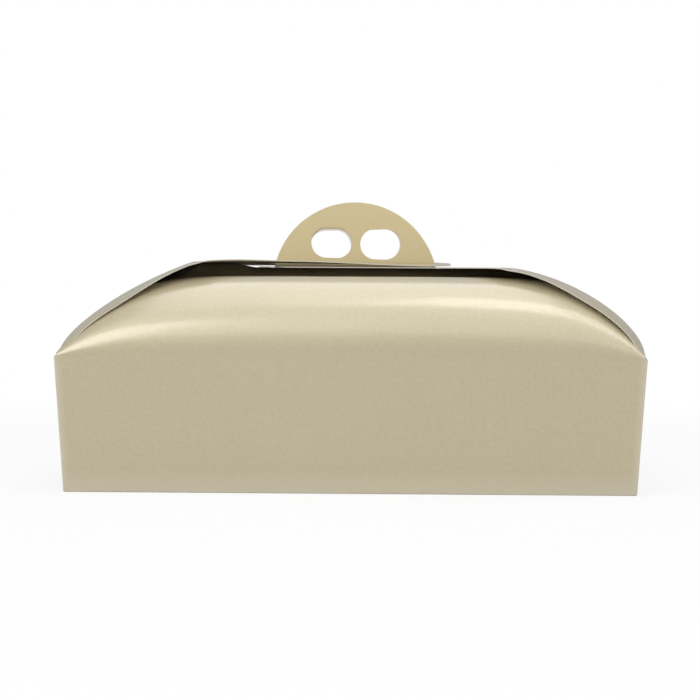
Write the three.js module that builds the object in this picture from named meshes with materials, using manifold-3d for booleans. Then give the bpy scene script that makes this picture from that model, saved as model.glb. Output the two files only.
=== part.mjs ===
// A carrying box for a cake, folded from one sheet of coated board. Millimetres, +Z up, front at -Y.
// The origin is the middle of the underside. The left closing flap is a mesh of its own, because it
// swings; everything else is one folded and glued sheet.
import * as THREE from "three";
import { mergeVertices } from "three/addons/utils/BufferGeometryUtils.js";
import Module from "manifold-3d";

const wasm = await Module();
wasm.setup();

// The sheet and the tray
const BOARD = 0.6;
const TOP_LENGTH = 390;
const TOP_DEPTH = 280;
const WALL_HEIGHT = 90;
const WALL_LEAN_DEG = 3.6;
const GLUE_TAB_WIDTH = 24;
const GLUE_TAB_END_GAP = 5;
const GLUE_TAB_SLANT = 8;

// The front and back panels, which carry on from their walls in a bow to the handle
const BOW_RISE = 53;
const BOW_SHOULDER = 140;
const BOW_FULLNESS = 3.8;
const BOW_SPREAD = 1.6;
const BOW_PULL = 0.5523;
const PANEL_INSET = 3.5;
const PANEL_START_RISE = 0.3;
const PANEL_END_LEVEL = 1.2;

// The panels rise again towards the handle, until they press on the closed flaps from below
const RIDGE_UNDER_TONGUE = 8;
const RIDGE_CLEARANCE = 0.5;
const RIDGE_FADE = 35;
const RIDGE_STEP_LENGTH = 20;

// The handle: two half discs, one on each bowed panel
const HANDLE_RADIUS = 58.4;
const HANDLE_CENTRE_DROP = 6;
const HANDLE_GAP = 0.5;
const REAR_HANDLE_SHIFT = 0.8;
const REAR_HANDLE_DROP = 1.2;
const HANDLE_TILT_DEG = 1.7;
const FINGER_HOLE_LENGTH = 29;
const FINGER_HOLE_HEIGHT = 21.6;
const FINGER_HOLE_SPACING = 34.8;
const FINGER_HOLE_OVER_FOLD = 17.4;

// The end flaps: a curved shoulder from the wall to a crease, then a plate with a slot
const FLAP_INSET = 2.5;
const SHOULDER_REACH = 86;
const RIGHT_SHOULDER_OUT_PULL = 18;
const LEFT_SHOULDER_OUT_PULL = 15.5;
const SHOULDER_IN_PULL = 48;
const SHOULDER_END_HALF = 100;
const RIGHT_SHOULDER_LEAN_DEG = 14;
const RIGHT_SHOULDER_SLOPE_DEG = 8;
const LEFT_SHOULDER_LEAN_DEG = 2;
const LEFT_SHOULDER_SLOPE_DEG = 20;
const TIP_BEYOND_SLOT = 8;
const PLATE_TAPER_LENGTH = 62;
const TONGUE_HALF_WIDTH = 40;
const TIP_RADIUS = 30;
const TONGUE_TWIST = 1.4;
const PLATE_OVER_CROWN = 6.5;
const LEFT_CREASE_STEP = 3.2;
const SLOT_WIDTH = 4;
const SLOT_END_CLEARANCE = 2.2;
const HINGE_GAP = 0.3;
const FLAP_REST_GAP = 0.35;

// How finely the curved stretches are cut into flat faces
const PANEL_STATIONS = 44;
const BOW_ROWS = 10;
const RIDGE_ROWS = 5;
const SHOULDER_ROWS = 12;
const FLAP_STATIONS = 8;
const TAPER_ROWS = 5;
const TIP_ROWS = 7;
const ARC_SEGMENTS = 20;
const SLOT_SEGMENTS = 6;

// What follows from those sizes
const lean = THREE.MathUtils.degToRad(WALL_LEAN_DEG);
const leanIn = WALL_HEIGHT * Math.tan(lean);
const halfLength = TOP_LENGTH / 2;
const halfDepth = TOP_DEPTH / 2;
const crownZ = WALL_HEIGHT + BOW_RISE;
const rightPlateZ = crownZ + PLATE_OVER_CROWN;
const leftCreaseZ = rightPlateZ + LEFT_CREASE_STEP;
const leftRestZ = rightPlateZ + BOARD + FLAP_REST_GAP + TONGUE_TWIST;
const creaseX = halfLength - SHOULDER_REACH;
const ridgeReach = TONGUE_HALF_WIDTH - RIDGE_UNDER_TONGUE;
const handleFoldZ = rightPlateZ - BOARD - RIDGE_CLEARANCE;
const handleFaceY = HANDLE_GAP / 2;
const plateAboveCentre = rightPlateZ - crownZ + HANDLE_CENTRE_DROP;
const handleHalfAtPlate = Math.sqrt(HANDLE_RADIUS ** 2 - plateAboveCentre ** 2);
const slotHalf = handleHalfAtPlate + REAR_HANDLE_SHIFT + SLOT_END_CLEARANCE;
const tipReach = slotHalf + TIP_BEYOND_SLOT;
const plateLength = creaseX + tipReach;

// A geometry as a solid that can be joined and cut
function solid(geometry) {
  const bare = new THREE.BufferGeometry();
  bare.setAttribute("position", geometry.getAttribute("position").clone());
  if (geometry.index) bare.setIndex(geometry.index.clone());
  const merged = mergeVertices(bare, 1e-4);
  return new wasm.Manifold(
    new wasm.Mesh({
      numProp: 3,
      vertProperties: new Float32Array(merged.getAttribute("position").array),
      triVerts: new Uint32Array(merged.index.array),
    }),
  );
}

// A solid as a geometry for a mesh
function geometryOf(made) {
  const mesh = made.getMesh();
  const geometry = new THREE.BufferGeometry();
  geometry.setAttribute("position", new THREE.BufferAttribute(mesh.vertProperties, 3));
  geometry.setIndex(new THREE.BufferAttribute(mesh.triVerts, 1));
  geometry.computeVertexNormals();
  return geometry;
}

// A length of board laid over a surface. outer(a, row) gives a point of its outer face, with a from -1
// to 1 across the board and row counting along it; the board's thickness goes inwards from there.
function board(stations, rows, outer) {
  const geometry = new THREE.BoxGeometry(2, rows, 1, stations, rows, 1);
  const places = geometry.getAttribute("position");
  const step = 1e-3;
  for (let i = 0; i < places.count; i += 1) {
    const a = places.getX(i);
    const row = Math.min(Math.max(places.getY(i) + rows / 2, 0), rows);
    const across = outer(a + step, row).sub(outer(a - step, row));
    const before = outer(a, Math.max(row - step, 0));
    const after = outer(a, Math.min(row + step, rows));
    const normal = across.cross(after.sub(before)).normalize();
    const inwards = (0.5 - places.getZ(i)) * BOARD;
    const place = outer(a, row).addScaledVector(normal, -inwards);
    places.setXYZ(i, place.x, place.y, place.z);
  }
  return solid(geometry);
}

// A point between listed ones, for a row number that may lie between two rows
function along(points, row) {
  const low = Math.min(Math.floor(row), points.length - 2);
  return points[low].clone().lerp(points[low + 1], row - low);
}

function smooth(t) {
  return THREE.MathUtils.smoothstep(t, 0, 1);
}

// How far a bowed panel has run out at a distance in from its corner: 0 along its middle, 1 at the corner
function bowShare(fromCorner) {
  return THREE.MathUtils.clamp(1 - fromCorner / BOW_SHOULDER, 0, 1);
}

// Height of a section of (way in from the wall, height) points at a way in
function heightAt(section, wayIn) {
  const next = section.findIndex((point, i) => i > 0 && point.x >= wayIn);
  const after = next < 0 ? section.length - 1 : next;
  const from = section[after - 1];
  const to = section[after];
  const share = Math.min((wayIn - from.x) / (to.x - from.x), 1);
  return THREE.MathUtils.lerp(from.y, to.y, share);
}

// How far a bowed panel rises at x, beyond its crown, to press on the flap above it. The right flap lies
// lowest as far as its tip; past the tip the panel steps up to the left one.
function ridgeRise(x, crown) {
  const right = heightAt(rightSection, halfLength - Math.max(x, 0));
  const left = heightAt(leftSection, halfLength + Math.min(x, 0));
  const step = smooth((-x - tipReach) / RIDGE_STEP_LENGTH);
  const cover = THREE.MathUtils.lerp(right, left, step);
  const fade = 1 - smooth((Math.abs(x) - creaseX) / RIDGE_FADE);
  return fade * Math.max(cover - BOARD - RIDGE_CLEARANCE - crown, 0);
}

// One row-by-row section of the front panel at x: points (way in from the wall top, height over it)
function bowSection(x) {
  const share = bowShare(halfLength - Math.abs(x));
  const rise = BOW_RISE * (1 - share ** BOW_FULLNESS);
  const run = rise * (1 + BOW_SPREAD * share);
  const curve = new THREE.CubicBezierCurve(
    new THREE.Vector2(0, 0),
    new THREE.Vector2(-Math.sin(lean) * BOW_PULL * rise, Math.cos(lean) * BOW_PULL * rise),
    new THREE.Vector2(run * (1 - BOW_PULL), rise),
    new THREE.Vector2(run, rise),
  );
  const fold = halfDepth - handleFaceY - BOARD / 2;
  const beyond = (Math.abs(x) - HANDLE_RADIUS) / (halfLength - PANEL_INSET - HANDLE_RADIUS);
  const cut = THREE.MathUtils.clamp(beyond, 0, 1) ** 2;
  const level = THREE.MathUtils.lerp(fold - run, PANEL_END_LEVEL, cut);
  const flat = Math.max(level - ridgeReach, level / RIDGE_ROWS);
  const lift = ridgeRise(x, WALL_HEIGHT + rise);
  const points = curve.getPoints(BOW_ROWS);
  for (let i = 0; i < RIDGE_ROWS; i += 1) {
    const t = i / (RIDGE_ROWS - 1);
    const wayIn = run + THREE.MathUtils.lerp(flat, level, t);
    points.push(new THREE.Vector2(wayIn, rise + lift * smooth(t)));
  }
  return points;
}

// The front wall and the bowed panel above it, one board from the base to the handle fold. The panel
// starts a little in from the corners, where the end flaps are folded beside it.
function frontPanel() {
  const wallRows = 1;
  const ledgeRows = 1;
  const rows = wallRows + ledgeRows + BOW_ROWS + RIDGE_ROWS;
  const outer = (a, row) => {
    if (row <= wallRows) {
      const drop = leanIn * (1 - row);
      const half = halfLength - BOARD / 2 - drop;
      return new THREE.Vector3(a * half, -halfDepth + drop, row * WALL_HEIGHT);
    }
    const panelX = a * (halfLength - PANEL_INSET);
    const section = bowSection(panelX);
    const t = row - wallRows - ledgeRows;
    if (t <= 0) {
      const half = THREE.MathUtils.lerp(halfLength - BOARD / 2, halfLength - PANEL_INSET, t + 1);
      return new THREE.Vector3(a * half, -halfDepth, WALL_HEIGHT + PANEL_START_RISE * (t + 1));
    }
    const point = along(section, t);
    const lift = PANEL_START_RISE * Math.max(1 - t, 0);
    return new THREE.Vector3(panelX, -halfDepth + point.x, WALL_HEIGHT + point.y + lift);
  };
  return board(PANEL_STATIONS, rows, outer);
}

// A stadium as a closed outline, its long way at an angle from x
function stadium(Path, x, y, length, height, tilt) {
  const radius = height / 2;
  const dx = Math.cos(tilt) * (length / 2 - radius);
  const dy = Math.sin(tilt) * (length / 2 - radius);
  const path = new Path();
  path.absarc(x + dx, y + dy, radius, tilt - Math.PI / 2, tilt + Math.PI / 2, false);
  path.absarc(x - dx, y - dy, radius, tilt + Math.PI / 2, tilt + Math.PI * 1.5, false);
  path.closePath();
  return path;
}

// One half of the handle, standing on the handle fold and hanging a drop lower than it might: a half
// disc with two finger holes, which are turned a little about its centre
function handleHalf(drop) {
  const centreZ = crownZ - HANDLE_CENTRE_DROP - drop;
  const foot = Math.asin((handleFoldZ - BOARD / 2 - centreZ) / HANDLE_RADIUS);
  const outline = new THREE.Shape();
  outline.absarc(0, centreZ, HANDLE_RADIUS, foot, Math.PI - foot, false);
  outline.closePath();
  const tilt = -THREE.MathUtils.degToRad(HANDLE_TILT_DEG);
  const disc = new THREE.Vector2(0, centreZ);
  for (const side of [-1, 1]) {
    const hole = new THREE.Vector2(
      (side * FINGER_HOLE_SPACING) / 2,
      handleFoldZ + FINGER_HOLE_OVER_FOLD - drop,
    );
    hole.rotateAround(disc, tilt);
    outline.holes.push(
      stadium(THREE.Path, hole.x, hole.y, FINGER_HOLE_LENGTH, FINGER_HOLE_HEIGHT, tilt),
    );
  }
  const plate = new THREE.ExtrudeGeometry(outline, {
    depth: BOARD,
    bevelEnabled: false,
    curveSegments: ARC_SEGMENTS,
  });
  plate.rotateX(Math.PI / 2);
  plate.translate(0, -handleFaceY, 0);
  return plate;
}

// The points of an end flap's section, (way in from the wall top, height), from the wall to the tip.
// The flap leaves the wall leaning out by leanDeg, meets the crease still rising by slopeDeg, and its
// plate runs on straight through the height restZ at restIn.
function flapSection(creaseZ, restZ, restIn, outPull, leanDeg, slopeDeg) {
  const shoulderLean = THREE.MathUtils.degToRad(leanDeg);
  const shoulderSlope = THREE.MathUtils.degToRad(slopeDeg);
  const curve = new THREE.CubicBezierCurve(
    new THREE.Vector2(0, WALL_HEIGHT + HINGE_GAP),
    new THREE.Vector2(
      -Math.sin(shoulderLean) * outPull,
      WALL_HEIGHT + Math.cos(shoulderLean) * outPull,
    ),
    new THREE.Vector2(
      SHOULDER_REACH - Math.cos(shoulderSlope) * SHOULDER_IN_PULL,
      creaseZ - Math.sin(shoulderSlope) * SHOULDER_IN_PULL,
    ),
    new THREE.Vector2(SHOULDER_REACH, creaseZ),
  );
  const slope = (restZ - creaseZ) / (restIn - SHOULDER_REACH);
  const points = curve.getPoints(SHOULDER_ROWS);
  for (const p of plateRows()) {
    points.push(new THREE.Vector2(SHOULDER_REACH + p, creaseZ + slope * p));
  }
  return points;
}

// Where the plate's rows lie, as distances from the crease
function plateRows() {
  const rows = [];
  for (let i = 1; i <= TAPER_ROWS; i += 1) {
    rows.push((PLATE_TAPER_LENGTH * i) / TAPER_ROWS);
  }
  for (let i = 0; i <= TIP_ROWS; i += 1) {
    const turn = ((Math.PI / 2) * i) / TIP_ROWS;
    rows.push(plateLength - TIP_RADIUS * (1 - Math.sin(turn)));
  }
  return rows;
}

// Half the flap's width at each of its rows
function flapHalfWidths() {
  const wide = halfDepth - FLAP_INSET;
  const widths = [];
  for (let i = 0; i <= SHOULDER_ROWS; i += 1) {
    const t = i / SHOULDER_ROWS;
    widths.push(THREE.MathUtils.lerp(wide, SHOULDER_END_HALF, t * t));
  }
  for (const p of plateRows()) {
    const taper = smooth(p / PLATE_TAPER_LENGTH);
    const width = THREE.MathUtils.lerp(SHOULDER_END_HALF, TONGUE_HALF_WIDTH, taper);
    const past = Math.max(p - (plateLength - TIP_RADIUS), 0);
    const round = TIP_RADIUS - Math.sqrt(TIP_RADIUS ** 2 - past ** 2);
    widths.push(width - round);
  }
  return widths;
}

// An end flap as a board, made on the right and turned about for the left. The plate is warped: a third
// of the way along, one edge of it is up by the twist, and at the tip the other edge is.
function flapBoard(section, twist) {
  const widths = flapHalfWidths();
  const outer = (a, row) => {
    const point = along(section, row);
    const low = Math.min(Math.floor(row), widths.length - 2);
    const y = a * THREE.MathUtils.lerp(widths[low], widths[low + 1], row - low);
    const into = Math.max(point.x - SHOULDER_REACH, 0) / plateLength;
    const z = point.y + (twist * Math.sin(1.5 * Math.PI * into) * y) / TONGUE_HALF_WIDTH;
    return new THREE.Vector3(halfLength - point.x, y, z);
  };
  return board(FLAP_STATIONS, section.length - 1, outer);
}

// An end wall, from the base to its top edge
function endWall() {
  const outer = (a, row) => {
    const drop = leanIn * (1 - row);
    const half = halfDepth - BOARD / 2 - drop;
    return new THREE.Vector3(halfLength - drop, a * half, row * WALL_HEIGHT);
  };
  return board(2, 1, outer);
}

// The strip that joins the right end wall to its flap, as wide as the flap
function wallTopStrip() {
  const half = halfDepth - FLAP_INSET;
  const strip = new THREE.BoxGeometry(BOARD, 2 * half, 2 * HINGE_GAP + BOARD);
  strip.translate(halfLength - BOARD / 2, 0, WALL_HEIGHT + HINGE_GAP / 2);
  return solid(strip);
}

// The slot in a flap's plate, which goes over the handle
function slotCutter() {
  const outline = stadium(THREE.Shape, 0, 0, 2 * slotHalf, SLOT_WIDTH, 0);
  const depth = leftCreaseZ - crownZ;
  const cutter = new THREE.ExtrudeGeometry(outline, {
    depth,
    bevelEnabled: false,
    curveSegments: SLOT_SEGMENTS,
  });
  cutter.translate(0, 0, crownZ + PLATE_OVER_CROWN / 2);
  return solid(cutter);
}

// A glue tab: it carries on from the front wall round the corner, inside the right end wall
function glueTab() {
  const tab = new THREE.BoxGeometry(1, 1, 1);
  const places = tab.getAttribute("position");
  const inner = BOARD / Math.cos(lean);
  for (let i = 0; i < places.count; i += 1) {
    const deep = places.getX(i) < 0;
    const far = places.getY(i) > 0;
    const top = places.getZ(i) > 0;
    const trim = GLUE_TAB_END_GAP + (far ? GLUE_TAB_SLANT : 0);
    const z = top ? WALL_HEIGHT - trim : trim;
    const drop = (WALL_HEIGHT - z) * Math.tan(lean);
    const x = halfLength - drop - (deep ? 2 * inner : inner / 2);
    const y = -halfDepth + drop + (far ? GLUE_TAB_WIDTH : BOARD / 2);
    places.setXYZ(i, x, y, z);
  }
  return solid(tab);
}

function basePlate() {
  const length = 2 * (halfLength - leanIn) - BOARD;
  const depth = 2 * (halfDepth - leanIn) - BOARD;
  const base = new THREE.BoxGeometry(length, depth, BOARD);
  base.translate(0, 0, BOARD / 2);
  return solid(base);
}

// A solid turned half round the upright middle line
function turned(made) {
  return made.rotate([0, 0, 180]);
}

// The sheet with the right flap closed over the handle
function carton() {
  const rearHandle = handleHalf(REAR_HANDLE_DROP);
  rearHandle.rotateZ(Math.PI);
  rearHandle.translate(REAR_HANDLE_SHIFT, 0, 0);
  const front = frontPanel();
  const tab = glueTab();
  const mirrored = tab.mirror([0, 1, 0]);
  const rightFlap = flapBoard(rightSection, 0).subtract(slotCutter());
  const pieces = [
    front,
    front.mirror([0, 1, 0]),
    endWall(),
    turned(endWall()),
    tab,
    mirrored,
    turned(tab),
    turned(mirrored),
    solid(handleHalf(0)),
    solid(rearHandle),
    wallTopStrip(),
    rightFlap,
  ];
  return pieces.reduce((whole, piece) => whole.add(piece), basePlate());
}

// The left closing flap. Its plate leans down to rest on the right one with its front edge.
function topEndFlap() {
  return turned(flapBoard(leftSection, TONGUE_TWIST)).subtract(slotCutter());
}

const coatedBoard = new THREE.MeshStandardMaterial({
  color: 0xc4b58c,
  roughness: 0.38,
  metalness: 0.35,
});

const rightSection = flapSection(
  rightPlateZ,
  rightPlateZ,
  SHOULDER_REACH + plateLength,
  RIGHT_SHOULDER_OUT_PULL,
  RIGHT_SHOULDER_LEAN_DEG,
  RIGHT_SHOULDER_SLOPE_DEG,
);
const leftSection = flapSection(
  leftCreaseZ,
  leftRestZ,
  halfLength + slotHalf,
  LEFT_SHOULDER_OUT_PULL,
  LEFT_SHOULDER_LEAN_DEG,
  LEFT_SHOULDER_SLOPE_DEG,
);
const box = new THREE.Group();
const folded = new THREE.Mesh(geometryOf(carton()), coatedBoard);
folded.name = "carton";
const flap = new THREE.Mesh(geometryOf(topEndFlap()), coatedBoard.clone());
flap.name = "top_end_flap";
box.add(folded, flap);

export default box;
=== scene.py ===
"""A carrying box for a cake, folded from one sheet of pale gold coated board, with its studio."""

import math

import bmesh
import bpy
from mathutils import Matrix, Vector


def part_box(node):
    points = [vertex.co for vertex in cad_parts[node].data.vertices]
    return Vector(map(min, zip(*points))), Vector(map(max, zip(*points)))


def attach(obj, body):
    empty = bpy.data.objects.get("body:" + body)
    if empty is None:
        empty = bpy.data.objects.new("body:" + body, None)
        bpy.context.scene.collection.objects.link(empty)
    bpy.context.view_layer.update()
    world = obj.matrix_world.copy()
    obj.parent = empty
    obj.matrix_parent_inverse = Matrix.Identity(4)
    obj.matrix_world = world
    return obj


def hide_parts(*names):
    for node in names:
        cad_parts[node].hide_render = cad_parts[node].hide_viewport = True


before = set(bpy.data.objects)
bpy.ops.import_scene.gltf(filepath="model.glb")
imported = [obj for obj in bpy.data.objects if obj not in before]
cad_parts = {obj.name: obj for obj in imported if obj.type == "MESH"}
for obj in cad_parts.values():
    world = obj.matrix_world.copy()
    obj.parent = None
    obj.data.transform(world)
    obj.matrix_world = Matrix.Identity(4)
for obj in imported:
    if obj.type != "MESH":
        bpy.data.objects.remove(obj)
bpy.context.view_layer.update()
BOX_LOW, BOX_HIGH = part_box("carton")

bl_info = {
    "name": "Cake carrying box",
    "version": (1, 0, 0),
    "blender": (4, 5, 0),
    "location": "3D View > Sidebar > Cake box",
    "description": "Builds the folded board, the finishes and the studio of a cake carrying box",
    "category": "Add Mesh",
}

# How finely the sheet is divided
PANEL_STATIONS = 96
BOW_ROWS = 34
LEVEL_ROWS = 6
RIDGE_ROWS = 10
WALL_ROWS = 6
FOLD_ROWS = 4
FLAP_STATIONS = 26
SHOULDER_ROWS = 40
TAPER_ROWS = 14
TONGUE_ROWS = 8
TIP_ROWS = 12
DISC_SEGMENTS = 144
HOLE_SEGMENTS = 48
TAB_STATIONS = 4
TAB_ROWS = 6

# Share of a quarter circle's radius that its curve handles take
ROUND_PULL = 0.5523

# Largest share of a bowed panel's level stretch that turns up again
RIDGE_LIMIT = 0.8

# A flap's bent margins: where along the shoulder the bend starts, the way over which it grows,
# where it starts to ease, what is left of it at the crease, and how soon that fades on the plate
DROOP_START = -0.05
DROOP_GROWTH = 0.25
DROOP_EASE = 0.6
DROOP_AT_CREASE = 0.35
DROOP_FADE = 2.5

# Distances in metres: the reach of a fold's painted highlight and rougher coating, and where
# points are welded or lie on a line or on a cut
FOLD_REACH = 0.0016
WELD_REACH = 2e-6
LINE_REACH = 1e-6
CUT_REACH = 1e-7

# How deep a glue tab lies under its wall's outer face, in thicknesses of the board
TAB_DEPTH = 1.02

# Top of the heights in which the left plate lies, in left steps over the right plate
LEFT_PLATE_TOP = 4

# Material slots of a sheet, counted on from its outer face's
INSIDE = 1
EDGE = 2

# Noise scales: broad clouds, slow waves, pearl mottle, fine grain, fibres and cut fibres
CLOUDS = 9.0
WAVES = 26.0
MOTTLE = 420.0
GRAIN = 1500.0
INNER_CLOUDS = 14.0
FIBRES = 700.0
CUT_FIBRES = 1800.0
FLOOR_GRAIN = 30.0

# Outputs of shader nodes, by their place
IS_CAMERA_RAY = 0
LENGTH_OUTPUT = 1
FACTOR_OUTPUT = 2
MIXED_COLOUR = 2
OBJECT_PLACE = 3

WHITE = (1.0, 1.0, 1.0, 1.0)

# The floor: half its width in metres, how dim its grain is, and how quickly it fades to white
FLOOR_HALF = 14.0
FLOOR_DIM = 0.97
FLOOR_FADE = 2.0

# The lamps: name, place, point aimed at, width and height in metres, and watts
LAMPS = (
    ("overhead softbox", (-0.05, 0.5, 1.7), (-0.05, 0.49, 0.0), (0.95, 2.0), 8.6),
    ("front softbox", (0.0, -1.18, 1.5), (0.0, -0.14, 0.1), (2.6, 1.45), 11.0),
    ("left softbox", (-0.8, -1.6, 1.45), (-0.1, -0.1, 0.1), (0.8, 1.2), 9.0),
    ("right softbox", (0.55, -0.28, 1.5), (0.1, -0.1, 0.1), (0.45, 1.15), 4.0),
    ("low softbox", (0.0, -3.2, 1.0), (0.0, 0.0, 0.1), (4.4, 2.0), 8.0),
)


def length(name, description, default):
    """A size in metres that a user can change."""
    return bpy.props.FloatProperty(
        name=name, description=description, default=default, min=0.0, unit="LENGTH", precision=5
    )


def colour(name, description, default):
    """A colour that a user can change."""
    return bpy.props.FloatVectorProperty(
        name=name,
        description=description,
        default=default,
        size=4,
        min=0.0,
        max=1.0,
        subtype="COLOR",
    )


def number(name, description, default):
    """A plain number that a user can change."""
    return bpy.props.FloatProperty(name=name, description=description, default=default)


def angle(name, description, degrees):
    """An angle that a user can change."""
    return bpy.props.FloatProperty(
        name=name, description=description, default=math.radians(degrees), subtype="ANGLE"
    )


class CakeBoxSizes(bpy.types.PropertyGroup):
    """The sizes of the folded sheet."""

    board: length("Board", "Thickness of the board", 0.0006)
    half_length: length("Half length", "Half the outside length at the wall tops", -BOX_LOW.x)
    half_depth: length("Half depth", "Half the outside depth at the wall tops", BOX_HIGH.y)
    wall_height: length("Wall height", "Height of the four walls", 0.09)
    lean: angle("Wall lean", "How far the walls lean outwards", 3.6)
    fold_radius: length("Fold radius", "Outer radius of the folds at corners and base", 0.0009)
    bow_rise: length("Bow rise", "Height of the bowed panels' crown over the walls", 0.053)
    bow_shoulder: length("Bow shoulder", "Distance in from a corner where the bow is full", 0.140)
    left_fullness: number("Left fullness", "How quickly the bow rises from the left corner", 4.1)
    right_fullness: number("Right fullness", "How quickly the bow rises from the right corner", 4.9)
    bow_spread: number("Bow spread", "How much further back the bow is cut at the corners", 1.6)
    bow_turn: number("Bow turn", "How much further back the bow turns level at the corners", 0.25)
    panel_inset: length("Panel inset", "From a corner in to the bowed panel's side", 0.0015)
    end_level: length("End level", "Level strip left at the bowed panel's sides", 0.0012)
    ridge_under: length("Ridge under", "How far under the tongue the panels rise again", 0.008)
    ridge_clearance: length("Ridge clearance", "Gap left under the flaps by the panels", 0.0001)
    ridge_fade: length("Ridge fade", "Length over which that rise fades past the crease", 0.035)
    ridge_step: length("Ridge step", "Length over which it steps up past the right tip", 0.020)
    handle_radius: length("Handle radius", "Radius of the half discs", 0.0584)
    handle_drop: length("Handle drop", "The disc's centre below the crown", 0.006)
    handle_gap: length("Handle gap", "Gap between the two half discs", 0.0005)
    rear_shift: length("Rear shift", "Sideways shift of the rear half disc", 0.0008)
    rear_drop: length("Rear drop", "How much lower the rear half disc stands", 0.0012)
    hole_length: length("Hole length", "Length of a finger hole", 0.029)
    handle_tilt: angle("Handle tilt", "Turn of the finger holes about the disc's centre", 1.7)
    hole_height: length("Hole height", "Height of a finger hole", 0.0216)
    hole_spacing: length("Hole spacing", "Distance between the finger holes' middles", 0.0348)
    hole_over_fold: length("Hole over fold", "Middle of the holes above the handle's fold", 0.0174)
    flap_inset: length("Flap inset", "From a corner in to the end flap's side", 0.0025)
    shoulder_reach: length("Shoulder reach", "Distance in from the wall to a flap's crease", 0.086)
    shoulder_half: length("Shoulder half width", "Half the flap's width at its crease", 0.100)
    tip_beyond_slot: length("Tip beyond slot", "From the slot's end to the tip", 0.008)
    plate_taper: length("Plate taper", "Length over which the plate narrows", 0.062)
    tongue_half: length("Tongue half width", "Half the width of the plate's tongue", 0.040)
    tip_radius: length("Tip radius", "Corner radius of the tip", 0.030)
    tongue_twist: length("Tongue twist", "How far the left tongue's edges warp up and down", 0.0014)
    plate_over_crown: length("Plate over crown", "Right plate above the panels' crown", 0.0065)
    left_step: length("Left step", "Left crease above the right one", 0.0032)
    right_lean: angle("Right shoulder lean", "Lean of the right flap where it leaves the wall", 14)
    right_slope: angle("Right shoulder slope", "Slope of the right flap at its crease", 8)
    left_lean: angle("Left shoulder lean", "Lean of the left flap where it leaves the wall", 2)
    left_slope: angle("Left shoulder slope", "Slope of the left flap at its crease", 20)
    right_pull: length("Right shoulder pull", "How far up the right flap keeps its lean", 0.018)
    left_pull: length("Left shoulder pull", "How far up the left flap keeps its lean", 0.0155)
    in_pull: length("Inner pull", "How far from the crease a flap keeps its slope", 0.048)
    slot_width: length("Slot width", "Width of the slot in a plate", 0.004)
    slot_clearance: length("Slot clearance", "Room at each end of the handle in its slot", 0.0022)
    droop: length("Droop", "How far a flap's side edges bend in over the bowed panels", 0.0058)
    droop_margin: length("Droop margin", "Width of the flap's margin that bends in", 0.030)
    hinge_gap: length("Hinge gap", "Gap at the fold that the left flap swings on", 0.0003)
    rest_gap: length("Rest gap", "Gap between the two plates where one rests", 0.00035)
    tab_width: length("Tab width", "Width of a glue tab", 0.024)
    tab_end_gap: length("Tab end gap", "A glue tab's ends below and above the wall's", 0.005)
    tab_slant: length("Tab slant", "How much a glue tab's ends slant", 0.008)


class CakeBoxColours(bpy.types.PropertyGroup):
    """The colours of the coated board."""

    coat: colour("Coating", "Pale gold coating outside", (0.52, 0.457, 0.303, 1.0))
    coat_deep: colour("Deep coating", "Coating where it lies thicker", (0.465, 0.405, 0.26, 1.0))
    # Painted reflection: a brighter, warmer copy of the coating for the light the handle reflects
    handle_coat_with_reflection: colour("Handle coating", "Coating on the handle", (0.66, 0.545, 0.30, 1.0))
    # Painted highlight: the paler coating along the folds, where their rounding catches light
    fold_highlight: colour("Worn coating", "Coating where a fold has stretched it", (0.74, 0.70, 0.58, 1.0))
    inner: colour("Inner board", "Uncoated inner side", (0.80, 0.76, 0.66, 1.0))
    inner_fleck: colour("Fleck", "Fibres in the inner side", (0.66, 0.62, 0.53, 1.0))
    edge: colour("Cut edge", "Cut edge of the board", (0.66, 0.63, 0.54, 1.0))
    floor: colour("Floor", "Floor and backdrop", (0.82, 0.82, 0.82, 1.0))


class CakeBoxStage(bpy.types.PropertyGroup):
    """Where the camera and the lamps are."""

    camera_side: number("Camera side", "Camera to the right of the middle, in metres", 0.036)
    camera_distance: length("Camera distance", "Camera in front of the front wall", 1.6)
    camera_height: length("Camera height", "Height of the camera", 0.151)
    aim_height: length("Aim height", "Height on the front wall that the camera looks at", 0.0952)
    camera_roll: angle("Camera roll", "Turn of the camera about its own line", 0.3)
    lens: number("Lens", "Focal length in millimetres", 125.6)
    floor_white: number("Floor white", "Share of the floor that shows as plain white", 0.85)
    shadow_reach: length("Shadow reach", "Distance at which the floor starts to fade to white", 0.5)
    world_light: number("World light", "Strength of the light from all round", 0.44)


def props():
    """The three groups of values."""
    scene = bpy.context.scene
    return scene.cake_box_sizes, scene.cake_box_colours, scene.cake_box_stage


# Shader expressions


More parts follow.
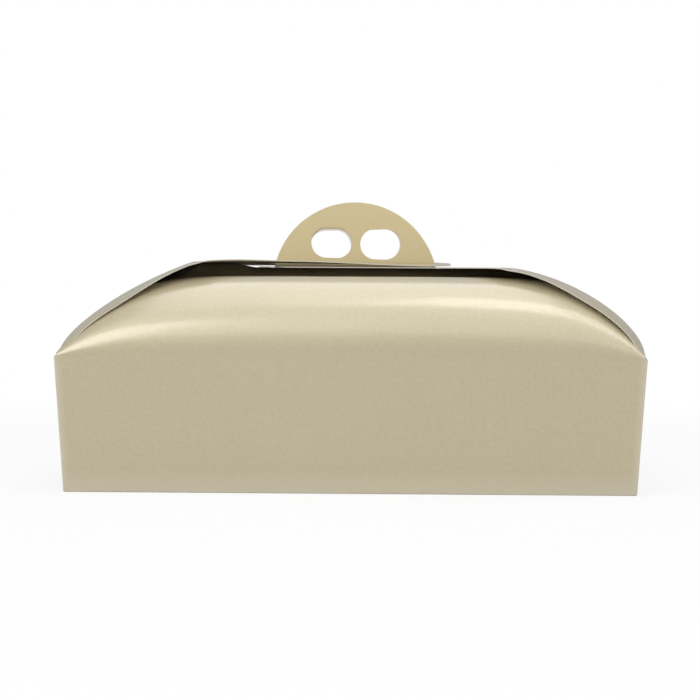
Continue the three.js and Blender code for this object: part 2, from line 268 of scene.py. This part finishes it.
class Wire:
    """A socket in a material. Sums written with it add Math nodes."""

    def __init__(self, tree, socket=None):
        self.tree = tree
        self.socket = socket

    def node(self, kind, settings=None, inputs=None, output=0):
        """Adds a node of a kind: its settings first, then its inputs. Gives one of its outputs."""
        made = self.tree.nodes.new(kind)
        for name, value in (settings or {}).items():
            if name == "stops":
                self.set_stops(made.color_ramp, value)
            else:
                setattr(made, name, value)
        for key, value in (inputs or {}).items():
            self.feed(made.inputs[key], value)
        return Wire(self.tree, made.outputs[output])

    def feed(self, socket, value):
        """Links a wire to a socket, or sets the socket to a plain value."""
        if isinstance(value, Wire):
            self.tree.links.new(value.socket, socket)
        else:
            socket.default_value = value

    @staticmethod
    def set_stops(ramp, stops):
        """Sets a ramp's stops, given as (place, colour)."""
        while len(ramp.elements) < len(stops):
            ramp.elements.new(1.0)
        for element, (place, value) in zip(ramp.elements, stops):
            element.position = place
            element.color = value

    def maths(self, operation, first, second, clamp=False):
        """A Math node on two wires or numbers."""
        settings = {"operation": operation, "use_clamp": clamp}
        return self.node("ShaderNodeMath", settings, {0: first, 1: second})

    def __add__(self, other):
        return self.maths("ADD", self, other)

    __radd__ = __add__

    def __sub__(self, other):
        return self.maths("SUBTRACT", self, other)

    def __rsub__(self, other):
        return self.maths("SUBTRACT", other, self)

    def __mul__(self, other):
        return self.maths("MULTIPLY", self, other)

    __rmul__ = __mul__

    def clamped(self):
        """The value kept between 0 and 1."""
        return self.maths("ADD", self, 0.0, clamp=True)

    def mix(self, share, first, second):
        """A colour between two colours or wires."""
        settings = {"data_type": "RGBA"}
        # Sockets 0, 6 and 7 are the factor and the two colours
        return self.node("ShaderNodeMix", settings, {0: share, 6: first, 7: second}, MIXED_COLOUR)

    def noise(self, place, scale, detail=3.0, roughness=0.5):
        """Noise with features about 1 / scale metres wide."""
        inputs = {"Vector": place, "Scale": scale, "Detail": detail, "Roughness": roughness}
        return self.node("ShaderNodeTexNoise", None, inputs)

    def attribute(self, name):
        """A number stored on the mesh."""
        return self.node("ShaderNodeAttribute", {"attribute_name": name}, None, FACTOR_OUTPUT)


def new_material(name):
    """An empty material, its wire factory, its shader node and its output node."""
    made = bpy.data.materials.new(name)
    made.use_nodes = True
    tree = made.node_tree
    tree.nodes.clear()
    output = tree.nodes.new("ShaderNodeOutputMaterial")
    shader = tree.nodes.new("ShaderNodeBsdfPrincipled")
    tree.links.new(shader.outputs[0], output.inputs[0])
    return made, Wire(tree), shader, output


def object_place(wire):
    """Object coordinates, in metres."""
    return wire.node("ShaderNodeTexCoord", None, None, OBJECT_PLACE)


def set_constants(shader, values):
    """Sets plain values on a shader's sockets."""
    for name, value in values.items():
        shader.inputs[name].default_value = value


def coated_board(colours):
    """Pale gold coating: a finely mottled pearl gloss, brighter and warmer on the handle by a
    painted reflection, paler on the folds by a painted highlight.
    """
    made, wire, shader, _ = new_material("coated board outside")
    set_constants(
        shader,
        {
            "Metallic": 0.24,
            "IOR": 1.5,
            "Coat Weight": 1.0,
            "Coat Roughness": 0.16,
            "Coat IOR": 1.6,
        },
    )
    place = object_place(wire)
    clouds = wire.noise(place, CLOUDS, 2.0)
    mottle = wire.noise(place, MOTTLE, 3.0, 0.6)
    grain = wire.noise(place, GRAIN, 2.0, 0.7)
    fold = wire.attribute("fold")
    depth = (clouds * 0.5 + (mottle - 0.5) * 1.8 + (grain - 0.5) * 0.9 + 0.25).clamped()
    base = wire.mix(depth, colours.coat, colours.coat_deep)
    # Painted reflection: the handle takes a brighter, warmer copy of the coating for the light it
    # reflects
    base = wire.mix(wire.attribute("handle"), base, colours.handle_coat_with_reflection)
    # Painted highlight: the coating turns paler, with a mottle, along the folds where their
    # rounding catches light
    fold_highlight_share = (fold * (0.25 + mottle * 0.5)).clamped()
    wire.feed(shader.inputs["Base Color"], wire.mix(fold_highlight_share, base, colours.fold_highlight))
    roughness = 0.40 + (mottle - 0.5) * 0.10 + (grain - 0.5) * 0.06 + fold * 0.12
    wire.feed(shader.inputs["Roughness"], roughness)
    waves = wire.noise(place, WAVES, 1.0)
    height = waves * 0.9 + mottle * 0.11 + grain * 0.012
    bump = {"Strength": 0.25, "Distance": 0.0006, "Height": height}
    normal = wire.node("ShaderNodeBump", None, bump)
    wire.feed(shader.inputs["Normal"], normal)
    return made


def inner_board(colours):
    """The uncoated inner side: plain pale board with short fibres."""
    made, wire, shader, _ = new_material("board inside")
    set_constants(shader, {"Metallic": 0.0, "IOR": 1.45})
    place = object_place(wire)
    fibres = wire.noise(place, FIBRES, 4.0, 0.65)
    clouds = wire.noise(place, INNER_CLOUDS, 2.0)
    flecks = ((fibres - 0.48) * 4.0 + (clouds - 0.5) * 0.6).clamped()
    base = wire.mix(flecks * 0.6, colours.inner, colours.inner_fleck)
    wire.feed(shader.inputs["Base Color"], base)
    wire.feed(shader.inputs["Roughness"], 0.52 + fibres * 0.16)
    bump = {"Strength": 0.3, "Distance": 0.0003, "Height": fibres * 0.3}
    wire.feed(shader.inputs["Normal"], wire.node("ShaderNodeBump", None, bump))
    return made


def cut_edge(colours):
    """The cut edge of the board, with its fibres showing."""
    made, wire, shader, _ = new_material("board edge")
    place = object_place(wire)
    fibres = wire.noise(place, CUT_FIBRES, 3.0, 0.6)
    base = wire.mix((fibres * 0.7).clamped(), colours.edge, colours.inner_fleck)
    wire.feed(shader.inputs["Base Color"], base)
    wire.feed(shader.inputs["Roughness"], 0.7 + fibres * 0.2)
    return made


def board_materials():
    """The sheet's three materials, made once: outside, inside and cut edge."""
    names = ("coated board outside", "board inside", "board edge")
    found = [bpy.data.materials.get(name) for name in names]
    if all(found):
        return found
    colours = props()[1]
    return [coated_board(colours), inner_board(colours), cut_edge(colours)]


# The sheet's sections


def smooth(t):
    """A rise from 0 to 1 with level ends."""
    t = min(max(t, 0.0), 1.0)
    return t * t * (3.0 - 2.0 * t)


def between(low, high, t):
    """The value a share t of the way from low to high."""
    return low + (high - low) * t


def curve_point(handles, t):
    """A point of a cubic curve given by its four handles."""
    a, b, c, d = handles
    s = 1.0 - t
    return a * s**3 + b * (3 * s * s * t) + c * (3 * s * t * t) + d * t**3


def crown_z(s):
    """Height of the bowed panels' level crown."""
    return s.wall_height + s.bow_rise


def right_plate_z(s):
    """Height of the right plate's top face."""
    return crown_z(s) + s.plate_over_crown


def slot_half(s):
    """Half the length of the slots."""
    above = s.plate_over_crown + s.handle_drop
    half = math.sqrt(s.handle_radius**2 - above**2)
    return half + s.rear_shift + s.slot_clearance


def tip_reach(s):
    """From the middle to a flap's tip."""
    return slot_half(s) + s.tip_beyond_slot


def plate_length(s):
    """From the crease to the tip."""
    return s.half_length - s.shoulder_reach + tip_reach(s)


def handle_fold_z(s):
    """Height of the panels' outer face at the handle's fold."""
    return right_plate_z(s) - s.board - s.ridge_clearance


class BowedPanel:
    """The bowed panel in front, from the wall's top to the handle's fold or its own cut edge."""

    def __init__(self, s):
        self.s = s
        self.right = right_flap_shape(s)
        self.left = left_flap_shape(s)
        self.columns = {}

    def lift(self, x, crown):
        """How far the panel rises again at x, to press on the flap above it."""
        s = self.s
        right = self.right.height(s.half_length - max(x, 0.0))
        left = self.left.height(s.half_length + min(x, 0.0))
        cover = between(right, left, smooth((-x - tip_reach(s)) / s.ridge_step))
        crease = s.half_length - s.shoulder_reach
        fade = 1.0 - smooth((abs(x) - crease) / s.ridge_fade)
        return fade * max(cover - s.board - s.ridge_clearance - crown, 0.0)

    def column(self, x):
        """At x: the bow's rise and run, where its level stretch turns up and ends, and the lift."""
        s = self.s
        share = min(max(1.0 - (s.half_length - abs(x)) / s.bow_shoulder, 0.0), 1.0)
        fullness = s.right_fullness if x > 0.0 else s.left_fullness
        rise = s.bow_rise * (1.0 - share**fullness)
        run = rise * (1.0 + s.bow_turn * share)
        drawn = rise * (1.0 + s.bow_spread * share)
        fold = s.half_depth - s.handle_gap / 2 - s.board / 2
        reach = s.half_length - s.panel_inset - s.handle_radius
        cut = min(max((abs(x) - s.handle_radius) / reach, 0.0), 1.0) ** 2
        end = drawn + between(fold - drawn, s.end_level, cut)
        flat = end - min(s.tongue_half - s.ridge_under, RIDGE_LIMIT * (end - run))
        return rise, run, flat, end, self.lift(x, s.wall_height + rise)

    def point(self, a, row):
        """A point of the outer face, with a from -1 to 1 across the panel."""
        s = self.s
        x = a * (s.half_length - s.panel_inset)
        key = round(x, 6)
        if key not in self.columns:
            self.columns[key] = self.column(x)
        rise, run, flat, end, lift = self.columns[key]
        if row <= BOW_ROWS:
            pull = ROUND_PULL * rise
            handles = (
                Vector((0.0, 0.0)),
                Vector((-math.sin(s.lean) * pull, math.cos(s.lean) * pull)),
                Vector((run * (1.0 - ROUND_PULL), rise)),
                Vector((run, rise)),
            )
            point = curve_point(handles, row / BOW_ROWS)
        elif row <= BOW_ROWS + LEVEL_ROWS:
            point = Vector((between(run, flat, (row - BOW_ROWS) / LEVEL_ROWS), rise))
        else:
            t = (row - BOW_ROWS - LEVEL_ROWS) / RIDGE_ROWS
            point = Vector((between(flat, end, t), rise + lift * smooth(t)))
        return Vector((x, -s.half_depth + point.x, s.wall_height + point.y))


def flap_rows(s):
    """Rows of an end flap: (way along the shoulder or None, distance past the crease)."""
    rows = [(i / SHOULDER_ROWS, 0.0) for i in range(SHOULDER_ROWS + 1)]
    rows += [(None, s.plate_taper * i / TAPER_ROWS) for i in range(1, TAPER_ROWS + 1)]
    straight = plate_length(s) - s.tip_radius
    for i in range(1, TONGUE_ROWS):
        rows.append((None, between(s.plate_taper, straight, i / TONGUE_ROWS)))
    for i in range(TIP_ROWS + 1):
        turn = math.pi / 2 * i / TIP_ROWS
        rows.append((None, straight + s.tip_radius * math.sin(turn)))
    return rows


def flap_half_width(s, way, past):
    """Half the flap's width at one of its rows."""
    if way is not None:
        return between(s.half_depth - s.flap_inset, s.shoulder_half, way * way)
    width = between(s.shoulder_half, s.tongue_half, smooth(past / s.plate_taper))
    into = max(past - (plate_length(s) - s.tip_radius), 0.0)
    return width - (s.tip_radius - math.sqrt(max(s.tip_radius**2 - into**2, 0.0)))


class FlapShape:
    """The section of an end flap, as made on the right: a curved shoulder, a crease and a plate."""

    def __init__(self, s, crease, rest, rest_in, twist, pull, lean, slope, foot):
        """Takes the crease's height, the plate's height at rest_in from the wall, and its twist.

        Then how far the shoulder keeps its lean, the lean, its slope at the crease and the gap at
        its foot.
        """
        self.s = s
        self.crease = crease
        self.twist = twist
        self.fall = (rest - crease) / (rest_in - s.shoulder_reach)
        way_in = s.shoulder_reach - math.cos(slope) * s.in_pull
        self.handles = (
            Vector((0.0, s.wall_height + foot)),
            Vector((-math.sin(lean) * pull, s.wall_height + math.cos(lean) * pull)),
            Vector((way_in, crease - math.sin(slope) * s.in_pull)),
            Vector((s.shoulder_reach, crease)),
        )

    def droop(self, way, past, from_edge):
        """How far a point of the flap is bent in from its plain section, and in which direction."""
        s = self.s
        if way is None:
            along = Vector((1.0, self.fall)).normalized()
            share = DROOP_AT_CREASE * (1.0 - smooth(DROOP_FADE * past / s.droop_margin))
        else:
            step = 1e-3
            before = curve_point(self.handles, max(way - step, 0.0))
            after = curve_point(self.handles, min(way + step, 1.0))
            along = (after - before).normalized()
            eased = smooth((way - DROOP_EASE) / (1.0 - DROOP_EASE))
            grown = smooth((way - DROOP_START) / DROOP_GROWTH)
            share = grown * between(1.0, DROOP_AT_CREASE, eased)
        near = max(1.0 - from_edge / s.droop_margin, 0.0)
        return Vector((along.y, -along.x)) * (s.droop * share * near * near)

    def point(self, a, way, past):
        """A point of the outer face, with a from -1 to 1 across the flap."""
        s = self.s
        half = flap_half_width(s, way, past)
        y = a * half
        if way is not None:
            flat = curve_point(self.handles, way)
        else:
            flat = Vector((s.shoulder_reach + past, self.crease + self.fall * past))
        flat += self.droop(way, past, half - abs(y))
        warp = self.twist * math.sin(1.5 * math.pi * past / plate_length(s))
        return Vector((s.half_length - flat.x, y, flat.y + warp * y / s.tongue_half))

    def height(self, way_in):
        """Height of the middle of the outer face at a distance in from the wall's top."""
        past = way_in - self.s.shoulder_reach
        if past >= 0.0:
            return self.crease + self.fall * past
        points = [curve_point(self.handles, i / SHOULDER_ROWS) for i in range(SHOULDER_ROWS + 1)]
        for before, after in zip(points, points[1:]):
            if after.x >= way_in:
                return between(before.y, after.y, (way_in - before.x) / (after.x - before.x))
        return self.crease


def right_flap_shape(s):
    """The right flap lies level on the way over the crown."""
    level = right_plate_z(s)
    end = s.half_length + tip_reach(s)
    return FlapShape(s, level, level, end, 0.0, s.right_pull, s.right_lean, s.right_slope, 0.0)


def left_flap_shape(s):
    """The left flap leans down until the front edge of its tongue rests on the right one."""
    crease = right_plate_z(s) + s.left_step
    rest = right_plate_z(s) + s.board + s.rest_gap + s.tongue_twist
    end = s.half_length + slot_half(s)
    lean, slope = s.left_lean, s.left_slope
    return FlapShape(s, crease, rest, end, s.tongue_twist, s.left_pull, lean, slope, s.hinge_gap)


# Modelling helpers


def grid_over(bm, stations, rows, place):
    """A grid laid over a surface: place(a, row) takes a from -1 to 1 and a row number."""
    made = bmesh.ops.create_grid(bm, x_segments=stations, y_segments=rows, size=1.0)
    for vert in made["verts"]:
        row = round((vert.co.y + 1.0) / 2.0 * rows)
        vert.co = place(vert.co.x, row)
    return made["verts"]


def lay_flap(bm, s, shape):
    """An end flap's grid, as made on the right."""
    rows = flap_rows(s)
    return grid_over(bm, FLAP_STATIONS, len(rows) - 1, lambda a, row: shape.point(a, *rows[row]))


def turn_half(bm, verts):
    """Turns vertices half round the upright middle line."""
    bmesh.ops.rotate(bm, verts=verts, cent=(0, 0, 0), matrix=Matrix.Rotation(math.pi, 3, "Z"))


def mirror_back(bm, verts):
    """Mirrors vertices from front to back, and turns their faces out again."""
    for vert in verts:
        vert.co.y = -vert.co.y
    for face in {face for vert in verts for face in vert.link_faces}:
        face.normal_flip()


def cut_slot(bm, s, low, high):
    """Cuts the handle's slot through a plate whose height lies between low and high."""
    half = slot_half(s)
    width = s.slot_width / 2
    planes = [
        (Vector((half, 0, 0)), Vector((1, 0, 0))),
        (Vector((-half, 0, 0)), Vector((1, 0, 0))),
        (Vector((0, width, 0)), Vector((0, 1, 0))),
        (Vector((0, -width, 0)), Vector((0, 1, 0))),
    ]
    for middle, normal in planes:
        plate = [f for f in bm.faces if all(low < v.co.z < high for v in f.verts)]
        around = {v for f in plate for v in f.verts}
        edges = {e for f in plate for e in f.edges}
        geom = list(around) + list(edges) + plate
        bmesh.ops.bisect_plane(bm, geom=geom, dist=CUT_REACH, plane_co=middle, plane_no=normal)
    holed = []
    for face in bm.faces:
        middle = face.calc_center_median()
        if low < middle.z < high and abs(middle.x) < half and abs(middle.y) < width:
            holed.append(face)
    bmesh.ops.delete(bm, geom=holed, context="FACES")


def finish_sheet(bm, name, s, body, nodes=(), handle=0.0):
    """Makes a sheet's mesh an object of board: outer face coated, inner face plain, edges cut.

    A handle of 1 gives it the handle's brighter, warmer coating, a painted reflection.
    """
    bmesh.ops.remove_doubles(bm, verts=bm.verts, dist=WELD_REACH)
    for face in bm.faces:
        face.smooth = True
    for edge in bm.edges:
        edge.smooth = not edge.is_boundary
    # The fold mask carries the folds' painted highlight and their rougher coating
    store_number(bm, "fold", lambda point: math.exp(-((fold_distance(s, point) / FOLD_REACH) ** 2)))
    # The handle mask picks out the handle for its painted reflection
    store_number(bm, "handle", lambda point: handle)
    sharpen_creases(bm, s)
    mesh = bpy.data.meshes.new(name)
    bm.to_mesh(mesh)
    bm.free()
    for material in board_materials():
        mesh.materials.append(material)
    piece = bpy.data.objects.new(name, mesh)
    bpy.context.scene.collection.objects.link(piece)
    wall = piece.modifiers.new("board thickness", "SOLIDIFY")
    wall.thickness = s.board
    wall.offset = -1.0
    wall.use_even_offset = True
    wall.use_rim = True
    wall.material_offset = INSIDE
    wall.material_offset_rim = EDGE
    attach(piece, body)
    if nodes:
        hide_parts(*nodes)
    return piece


def fold_distance(s, point):
    """How far a point of the sheet is from the nearest fold."""
    drop = (s.wall_height - min(point.z, s.wall_height)) * math.tan(s.lean)
    from_end = abs(s.half_length - drop - abs(point.x))
    from_front = abs(s.half_depth - drop - abs(point.y))
    ways = [math.hypot(from_end, from_front)]
    if point.z < s.wall_height / 2:
        ways.append(math.hypot(point.z, min(from_end, from_front)))
    if abs(point.y) < s.half_depth - s.flap_inset / 2:
        ways.append(math.hypot(point.z - s.wall_height, from_end))
    crease = s.half_length - s.shoulder_reach
    if point.z > crown_z(s) + s.plate_over_crown / 2:
        ways.append(abs(abs(point.x) - crease))
    return min(ways)


def store_number(bm, name, value):
    """Stores a number on each point of a sheet, which value(point) gives."""
    layer = bm.verts.layers.float.new(name)
    for vert in bm.verts:
        vert[layer] = value(vert.co)


def sharpen_creases(bm, s):
    """Keeps the end flaps' creases sharp."""
    crease = s.half_length - s.shoulder_reach
    for edge in bm.edges:
        on_line = all(abs(abs(v.co.x) - crease) < LINE_REACH for v in edge.verts)
        if on_line and all(v.co.z > crown_z(s) for v in edge.verts):
            edge.smooth = False


def side_places(share, count):
    """Places from -1 to 1 along a side of the tray: its ends and a grid's stations between."""
    return [-1.0] + [share * (2 * i / count - 1) for i in range(count + 1)] + [1.0]


def tray_ring(s, z, tuck):
    """A ring of points round the tray at a height, tucked in by a little at the base's fold."""
    drop = (s.wall_height - z) * math.tan(s.lean) + tuck
    radius = s.fold_radius
    far_x = s.half_length - drop - radius
    far_y = s.half_depth - drop - radius
    panel = (s.half_length - s.panel_inset) / (s.half_length - radius)
    flap = (s.half_depth - s.flap_inset) / (s.half_depth - radius)
    front = side_places(panel, PANEL_STATIONS)
    side = side_places(flap, FLAP_STATIONS)
    ring = []
    for turn in (0, 1):
        sign = 1 - 2 * turn
        ring += [Vector((sign * a * far_x, -sign * (far_y + radius), z)) for a in front]
        ring += corner(far_x * sign, -far_y * sign, radius, z, turn * math.pi - math.pi / 2)
        ring += [Vector((sign * (far_x + radius), sign * a * far_y, z)) for a in side]
        ring += corner(far_x * sign, far_y * sign, radius, z, turn * math.pi)
    return ring


def corner(x, y, radius, z, start):
    """The points inside a corner's quarter turn."""
    points = []
    for i in range(1, FOLD_ROWS):
        turn = start + math.pi / 2 * i / FOLD_ROWS
        points.append(Vector((x + radius * math.cos(turn), y + radius * math.sin(turn), z)))
    return points


def build_tray(bm, s):
    """The base and the four walls: a ring drawn up from the base's fold to the wall tops."""
    levels = []
    for i in range(FOLD_ROWS):
        turn = math.pi / 2 * (1 - i / FOLD_ROWS)
        levels.append((s.fold_radius * (1 - math.cos(turn)), s.fold_radius * (1 - math.sin(turn))))
    for i in range(WALL_ROWS + 1):
        levels.append((0.0, between(s.fold_radius, s.wall_height, i / WALL_ROWS)))
    tuck, z = levels[0]
    first = [bm.verts.new(point) for point in tray_ring(s, z, tuck)]
    edges = [bm.edges.new((first[i - 1], first[i])) for i in range(len(first))]
    bmesh.ops.edgeloop_fill(bm, edges=edges)
    for tuck, z in levels[1:]:
        made = bmesh.ops.extrude_edge_only(bm, edges=edges)
        fresh = [g for g in made["geom"] if isinstance(g, bmesh.types.BMVert)]
        places = dict(zip(first, tray_ring(s, z, tuck)))
        partner = {}
        for vert in fresh:
            for edge in vert.link_edges:
                other = edge.other_vert(vert)
                if other in places:
                    partner[other] = vert
        for old, new in partner.items():
            new.co = places[old]
        first = [partner[old] for old in first]
        edges = [g for g in made["geom"] if isinstance(g, bmesh.types.BMEdge)]
        edges = [e for e in edges if e.verts[0] in fresh and e.verts[1] in fresh]
    bmesh.ops.recalc_face_normals(bm, faces=bm.faces)


class CAKEBOX_OT_folded_sheet(bpy.types.Operator):
    """Folds the tray, the two bowed panels and the right end flap from one sheet"""

    bl_idname = "cakebox.folded_sheet"
    bl_label = "Folded sheet"

    def execute(self, context):
        s = props()[0]
        bm = bmesh.new()
        build_tray(bm, s)
        panel = BowedPanel(s)
        panel_rows = BOW_ROWS + LEVEL_ROWS + RIDGE_ROWS
        grid_over(bm, PANEL_STATIONS, panel_rows, panel.point)
        mirror_back(bm, grid_over(bm, PANEL_STATIONS, panel_rows, panel.point))
        lay_flap(bm, s, right_flap_shape(s))
        level = right_plate_z(s)
        cut_slot(bm, s, level - s.plate_over_crown / 2, level + s.plate_over_crown / 2)
        finish_sheet(bm, "folded_sheet", s, "carton", ["carton"])
        return {"FINISHED"}


class CAKEBOX_OT_handle(bpy.types.Operator):
    """Cuts the two half discs of the handle, with their finger holes"""

    bl_idname = "cakebox.handle"
    bl_label = "Handle"

    def execute(self, context):
        s = props()[0]
        for name, rear in (("handle_front", False), ("handle_rear", True)):
            bm = bmesh.new()
            self.half_disc(bm, s, s.rear_drop if rear else 0.0)
            if rear:
                turn_half(bm, bm.verts)
                bmesh.ops.translate(bm, verts=bm.verts, vec=(s.rear_shift, 0.0, 0.0))
            finish_sheet(bm, name, s, "carton", handle=1.0)
        return {"FINISHED"}

    def half_disc(self, bm, s, drop):
        """The front half disc, flat, its coated face to the front."""
        centre = Vector((0.0, 0.0, crown_z(s) - s.handle_drop - drop))
        upright = Matrix.Rotation(math.pi / 2, 4, "X")
        bmesh.ops.create_circle(
            bm,
            segments=DISC_SEGMENTS,
            radius=s.handle_radius,
            matrix=Matrix.Translation(centre) @ upright,
        )
        bmesh.ops.bisect_plane(
            bm,
            geom=list(bm.verts) + list(bm.edges),
            dist=CUT_REACH,
            plane_co=(0, 0, handle_fold_z(s) - s.board / 2),
            plane_no=(0, 0, 1),
            clear_inner=True,
        )
        ends = [v for v in bm.verts if len(v.link_edges) == 1]
        bm.edges.new(ends)
        tilt = Matrix.Rotation(s.handle_tilt, 3, "Y")
        stretch = (s.hole_length - s.hole_height) / 2
        for side in (-1, 1):
            height = handle_fold_z(s) + s.hole_over_fold - drop
            middle = Vector((side * s.hole_spacing / 2, 0.0, height))
            hole = bmesh.ops.create_circle(
                bm,
                segments=HOLE_SEGMENTS,
                radius=s.hole_height / 2,
                matrix=Matrix.Translation(middle) @ upright,
            )
            for vert in hole["verts"]:
                way = vert.co.x - middle.x
                vert.co.x += math.copysign(stretch, way) if abs(way) > LINE_REACH else 0.0
            bmesh.ops.rotate(bm, verts=hole["verts"], cent=centre, matrix=tilt)
        bmesh.ops.triangle_fill(
            bm, edges=list(bm.edges), use_beauty=True, use_dissolve=False, normal=(0, -1, 0)
        )
        for face in bm.faces:
            face.normal_update()
            if face.normal.y > 0:
                face.normal_flip()
        bmesh.ops.translate(bm, verts=bm.verts, vec=(0.0, -s.handle_gap / 2 - s.board, 0.0))


class CAKEBOX_OT_top_flap(bpy.types.Operator):
    """Folds the left end flap, which closes last and lies on the right one"""

    bl_idname = "cakebox.top_flap"
    bl_label = "Top flap"

    def execute(self, context):
        s = props()[0]
        bm = bmesh.new()
        turn_half(bm, lay_flap(bm, s, left_flap_shape(s)))
        level = right_plate_z(s)
        cut_slot(bm, s, level - s.board, level + LEFT_PLATE_TOP * s.left_step)
        finish_sheet(bm, "top_flap_sheet", s, "top_flap", ["top_end_flap"])
        return {"FINISHED"}


class CAKEBOX_OT_glue_tabs(bpy.types.Operator):
    """Folds the four glue tabs against the insides of the end walls"""

    bl_idname = "cakebox.glue_tabs"
    bl_label = "Glue tabs"

    def execute(self, context):
        s = props()[0]
        bm = bmesh.new()
        for end in (-1, 1):
            for side in (-1, 1):
                grid_over(
                    bm,
                    TAB_STATIONS,
                    TAB_ROWS,
                    lambda a, row: self.point(s, end, side, (a + 1) / 2, row / TAB_ROWS),
                )
        bmesh.ops.recalc_face_normals(bm, faces=bm.faces)
        for face in bm.faces:
            if face.normal.x * face.calc_center_median().x < 0:
                face.normal_flip()
        finish_sheet(bm, "glue_tabs", s, "carton")
        return {"FINISHED"}

    def point(self, s, end, side, across, up):
        """A point of a tab's outer face, just inside the end wall."""
        trim = s.tab_end_gap + s.tab_slant * across
        z = between(trim, s.wall_height - trim, up)
        drop = (s.wall_height - z) * math.tan(s.lean)
        x = s.half_length - drop - s.board * TAB_DEPTH / math.cos(s.lean)
        y = s.half_depth - drop - s.board - s.tab_width * across
        return Vector((end * x, side * y, z))


class CAKEBOX_OT_stage(bpy.types.Operator):
    """Sets the camera, the pale floor and the soft studio light"""

    bl_idname = "cakebox.stage"
    bl_label = "Stage"

    def execute(self, context):
        sizes, colours, stage = props()
        scene = bpy.context.scene
        scene.view_settings.view_transform = "Standard"
        self.camera(scene, sizes, stage)
        self.floor(scene, colours, stage)
        self.world(scene, stage)
        for lamp in LAMPS:
            self.lamp(scene, *lamp)
        return {"FINISHED"}

    def camera(self, scene, sizes, stage):
        """A long lens at the height of the closed flaps."""
        data = bpy.data.cameras.new("camera")
        data.lens = stage.lens
        data.sensor_width = 36.0
        data.clip_end = 50.0
        away = sizes.half_depth + stage.camera_distance
        eye = Vector((stage.camera_side, -away, stage.camera_height))
        aim = Vector((0.0, -sizes.half_depth, stage.aim_height))
        look = (aim - eye).to_track_quat("-Z", "Y").to_matrix().to_4x4()
        roll = Matrix.Rotation(stage.camera_roll, 4, "Z")
        camera = bpy.data.objects.new("camera", data)
        camera.matrix_world = Matrix.Translation(eye) @ look @ roll
        scene.collection.objects.link(camera)
        scene.camera = camera

    def floor(self, scene, colours, stage):
        """A floor that shows almost white and keeps a faint shadow."""
        bm = bmesh.new()
        bmesh.ops.create_grid(bm, x_segments=1, y_segments=1, size=FLOOR_HALF)
        mesh = bpy.data.meshes.new("floor")
        bm.to_mesh(mesh)
        bm.free()
        made, wire, shader, output = new_material("floor")
        grain = wire.noise(object_place(wire), FLOOR_GRAIN, 2.0)
        dim = tuple(part * FLOOR_DIM for part in colours.floor[:3]) + (1.0,)
        wire.feed(shader.inputs["Base Color"], wire.mix(grain, colours.floor, dim))
        set_constants(shader, {"Roughness": 0.9})
        glow = wire.node("ShaderNodeEmission", None, {"Color": WHITE, "Strength": 1.0})
        seen = wire.node("ShaderNodeLightPath", None, None, IS_CAMERA_RAY)
        place = object_place(wire)
        far = wire.node("ShaderNodeVectorMath", {"operation": "LENGTH"}, {0: place}, LENGTH_OUTPUT)
        away = ((far - stage.shadow_reach) * FLOOR_FADE).clamped()
        share = seen * (away * (1.0 - stage.floor_white) + stage.floor_white)
        lit = Wire(wire.tree, shader.outputs[0])
        shown = wire.node("ShaderNodeMixShader", None, {0: share, 1: lit, 2: glow})
        wire.feed(output.inputs[0], shown)
        mesh.materials.append(made)
        piece = bpy.data.objects.new("floor", mesh)
        scene.collection.objects.link(piece)

    def world(self, scene, stage):
        """White to the camera, and a plain even light to everything else."""
        world = bpy.data.worlds.new("studio")
        world.use_nodes = True
        tree = world.node_tree
        tree.nodes.clear()
        wire = Wire(tree)
        seen = wire.node("ShaderNodeLightPath", None, None, IS_CAMERA_RAY)
        strength = seen * (1.0 - stage.world_light) + stage.world_light
        light = wire.node("ShaderNodeBackground", None, {"Color": WHITE, "Strength": strength})
        output = tree.nodes.new("ShaderNodeOutputWorld")
        wire.feed(output.inputs[0], light)
        scene.world = world

    def lamp(self, scene, name, place, aim, size, power):
        """A rectangular softbox."""
        data = bpy.data.lights.new(name, "AREA")
        data.shape = "RECTANGLE"
        data.size, data.size_y = size
        data.energy = power
        lamp = bpy.data.objects.new(name, data)
        look = (Vector(aim) - Vector(place)).to_track_quat("-Z", "Y").to_matrix().to_4x4()
        lamp.matrix_world = Matrix.Translation(place) @ look
        scene.collection.objects.link(lamp)


class CAKEBOX_PT_panel(bpy.types.Panel):
    """Lists the steps that build the box"""

    bl_idname = "CAKEBOX_PT_panel"
    bl_label = "Cake box"
    bl_space_type = "VIEW_3D"
    bl_region_type = "UI"
    bl_category = "Cake box"

    def draw(self, context):
        for operator in OPERATORS:
            self.layout.operator(operator.bl_idname)


OPERATORS = (
    CAKEBOX_OT_folded_sheet,
    CAKEBOX_OT_handle,
    CAKEBOX_OT_top_flap,
    CAKEBOX_OT_glue_tabs,
    CAKEBOX_OT_stage,
)
GROUPS = (CakeBoxSizes, CakeBoxColours, CakeBoxStage)


def register():
    """Registers the values, the steps and the panel."""
    for made in GROUPS + OPERATORS + (CAKEBOX_PT_panel,):
        bpy.utils.register_class(made)
    bpy.types.Scene.cake_box_sizes = bpy.props.PointerProperty(type=CakeBoxSizes)
    bpy.types.Scene.cake_box_colours = bpy.props.PointerProperty(type=CakeBoxColours)
    bpy.types.Scene.cake_box_stage = bpy.props.PointerProperty(type=CakeBoxStage)


def unregister():
    """Takes them all away again."""
    del bpy.types.Scene.cake_box_stage
    del bpy.types.Scene.cake_box_colours
    del bpy.types.Scene.cake_box_sizes
    for made in reversed(GROUPS + OPERATORS + (CAKEBOX_PT_panel,)):
        bpy.utils.unregister_class(made)


def main():
    """Builds the box and its studio."""
    register()
    bpy.ops.cakebox.folded_sheet()
    bpy.ops.cakebox.handle()
    bpy.ops.cakebox.top_flap()
    bpy.ops.cakebox.glue_tabs()
    bpy.ops.cakebox.stage()


if __name__ == "__main__":
    main()
